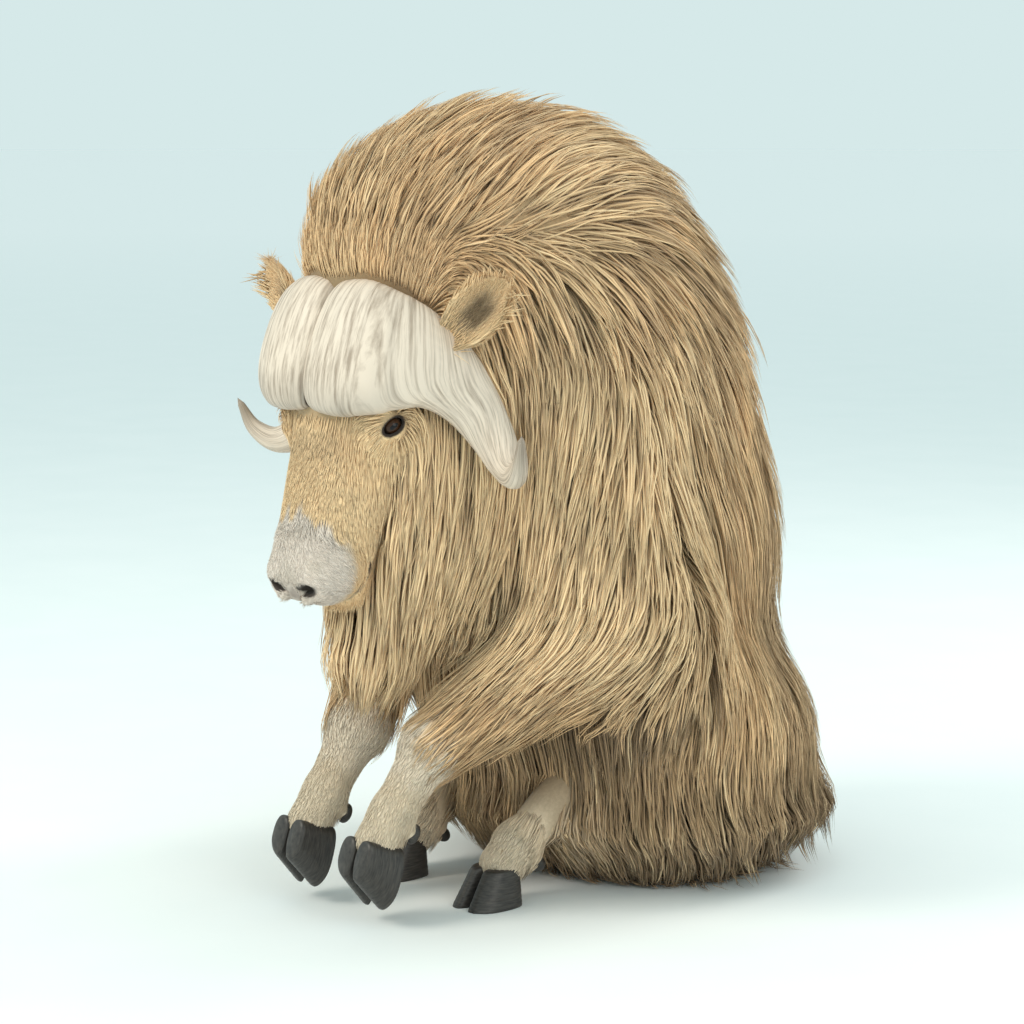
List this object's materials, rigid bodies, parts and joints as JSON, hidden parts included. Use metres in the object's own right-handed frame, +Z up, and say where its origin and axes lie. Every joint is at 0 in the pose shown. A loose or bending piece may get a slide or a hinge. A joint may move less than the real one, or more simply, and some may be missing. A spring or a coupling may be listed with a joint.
{
  "type": "muskox",
  "caption": "Life-size bull muskox sitting upright on its rump, horned head hanging forward, forelegs held out with limp hooves, in a long shaggy coat.",
  "frame": {"origin": "on the floor, on the flat underside of the rump, in the animal's plane of symmetry", "axes": "+Z up, -Y the way the animal faces, +X towards its left side"},
  "size_m": [0.953, 1.2278, 1.455],
  "materials": {
    "coat": "long tan hair",
    "coat_dark": "long brown hair of the rump and tail",
    "coat_pale": "short cream hair of the muzzle and the lower legs",
    "horn": "dry fibrous horn",
    "hoof": "satin black hoof",
    "eye": "wet dark brown eye"
  },
  "bodies": {
    "root": {"head": "coat", "throat_mane": "coat", "neck": "coat", "hump": "coat", "barrel": "coat", "ear_left": "coat", "ear_right": "coat", "foreleg_upper_left": "coat", "foreleg_upper_right": "coat", "hindleg_thigh_left": "coat", "hindleg_thigh_right": "coat", "rump": "coat_dark", "tail": "coat_dark", "lower_jaw": "coat_pale", "foreleg_shin_left": "coat_pale", "foreleg_shin_right": "coat_pale", "hindleg_shin_left": "coat_pale", "hindleg_shin_right": "coat_pale", "horn_left": "horn", "horn_right": "horn", "forehoof_outer_left": "hoof", "forehoof_outer_right": "hoof", "forehoof_inner_left": "hoof", "forehoof_inner_right": "hoof", "hindhoof_outer_left": "hoof", "hindhoof_outer_right": "hoof", "hindhoof_inner_left": "hoof", "hindhoof_inner_right": "hoof", "fore_dewclaw_outer_left": "hoof", "fore_dewclaw_outer_right": "hoof", "fore_dewclaw_inner_left": "hoof", "fore_dewclaw_inner_right": "hoof", "hind_dewclaw_outer_left": "hoof", "hind_dewclaw_outer_right": "hoof", "hind_dewclaw_inner_left": "hoof", "hind_dewclaw_inner_right": "hoof", "eye_left": "eye", "eye_right": "eye"}
  },
  "joints": []
}
